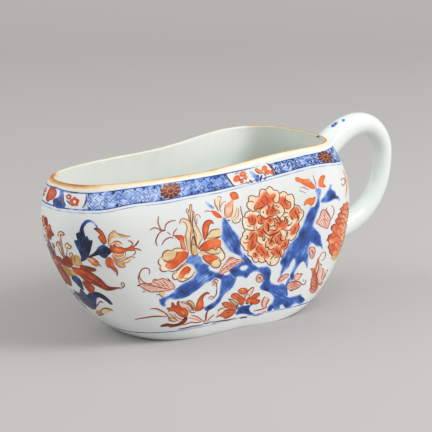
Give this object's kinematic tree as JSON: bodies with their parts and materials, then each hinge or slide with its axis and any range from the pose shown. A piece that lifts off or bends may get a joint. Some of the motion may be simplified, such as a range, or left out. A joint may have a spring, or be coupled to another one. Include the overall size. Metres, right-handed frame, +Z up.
{
  "type": "bourdaloue",
  "caption": "Waisted oval porcelain bourdaloue with a prow-like front, a lip that rises to the back and a loop handle, painted in underglaze blue, iron red and gilding.",
  "frame": {"origin": "middle of the flat foot, on the surface it rests on", "axes": "+X from the middle of the foot to the handle, +Y across the vessel, +Z up"},
  "size_m": [0.241, 0.0778, 0.0987],
  "materials": {
    "painted_glaze": "glossy cool white glaze with underglaze blue, iron red and gilt painting",
    "plain_glaze": "glossy cool white glaze",
    "lip_dressing": "thin iron-brown dressing that thins to white",
    "biscuit": "bare fired porcelain, matt"
  },
  "bodies": {
    "root": {"body_wall": "painted_glaze", "base_slab": "biscuit", "rim_lip": "lip_dressing", "handle": "plain_glaze", "upper_luting": "plain_glaze", "lower_luting": "plain_glaze"}
  },
  "joints": []
}
